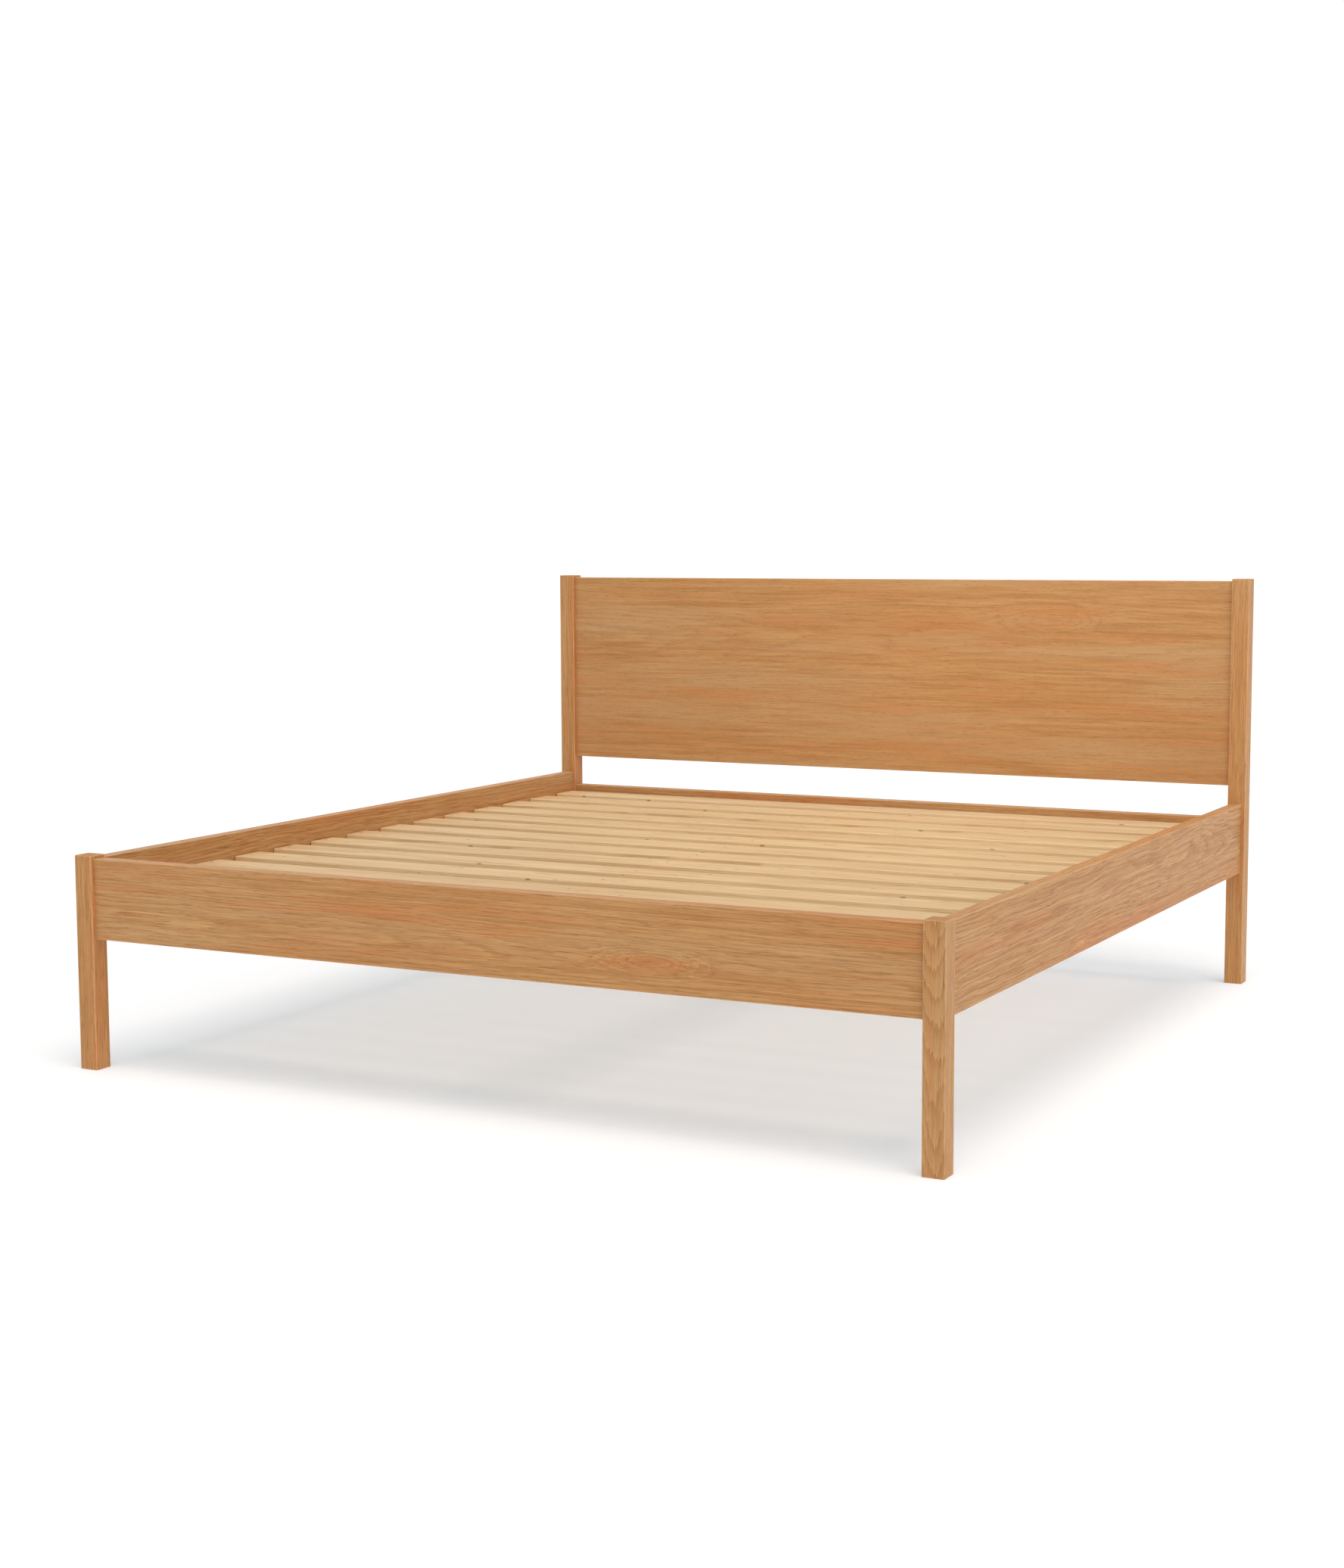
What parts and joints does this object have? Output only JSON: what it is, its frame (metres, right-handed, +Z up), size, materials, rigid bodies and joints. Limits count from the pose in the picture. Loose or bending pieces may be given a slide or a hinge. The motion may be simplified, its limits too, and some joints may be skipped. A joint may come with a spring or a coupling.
{
  "type": "bed frame",
  "caption": "King-size slatted wooden bed frame: square legs, plain deep rails, a one-panel headboard between tall posts, and hooked knock-down side rails.",
  "frame": {"origin": "on the floor, under the middle of the frame's overall width and length", "axes": "+X across the bed to the right as seen from the foot, +Y along the bed from the foot to the headboard, +Z up"},
  "size_m": [2.03, 2.152, 1.045],
  "materials": {
    "oak": "satin lacquered oak, honey toned",
    "base_wood": "planed and unfinished softwood",
    "bracket_steel": "zinc plated sheet steel",
    "screw_steel": "yellow zinc plated steel"
  },
  "bodies": {
    "root": {"beam_hanger_foot": "bracket_steel", "beam_hanger_head": "bracket_steel", "centre_beam": "base_wood", "foot_rail": "oak", "front_leg_left": "oak", "front_leg_right": "oak", "hanger_screws": "screw_steel", "head_post_left": "oak", "head_post_right": "oak", "head_rail": "oak", "headboard_panel": "oak", "hook_plate_foot_left": "bracket_steel", "hook_plate_foot_right": "bracket_steel", "hook_plate_head_left": "bracket_steel", "hook_plate_head_right": "bracket_steel", "hook_plate_screws": "screw_steel", "ledge_screws": "screw_steel", "side_rail_left": "oak", "side_rail_right": "oak", "slat_01": "base_wood", "slat_02": "base_wood", "slat_03": "base_wood", "slat_04": "base_wood", "slat_05": "base_wood", "slat_06": "base_wood", "slat_07": "base_wood", "slat_08": "base_wood", "slat_09": "base_wood", "slat_10": "base_wood", "slat_11": "base_wood", "slat_12": "base_wood", "slat_13": "base_wood", "slat_14": "base_wood", "slat_ledge_left": "base_wood", "slat_ledge_right": "base_wood", "slat_screws": "screw_steel", "slot_plate_foot_left": "bracket_steel", "slot_plate_foot_right": "bracket_steel", "slot_plate_head_left": "bracket_steel", "slot_plate_head_right": "bracket_steel", "slot_plate_screws": "screw_steel"}
  },
  "joints": []
}
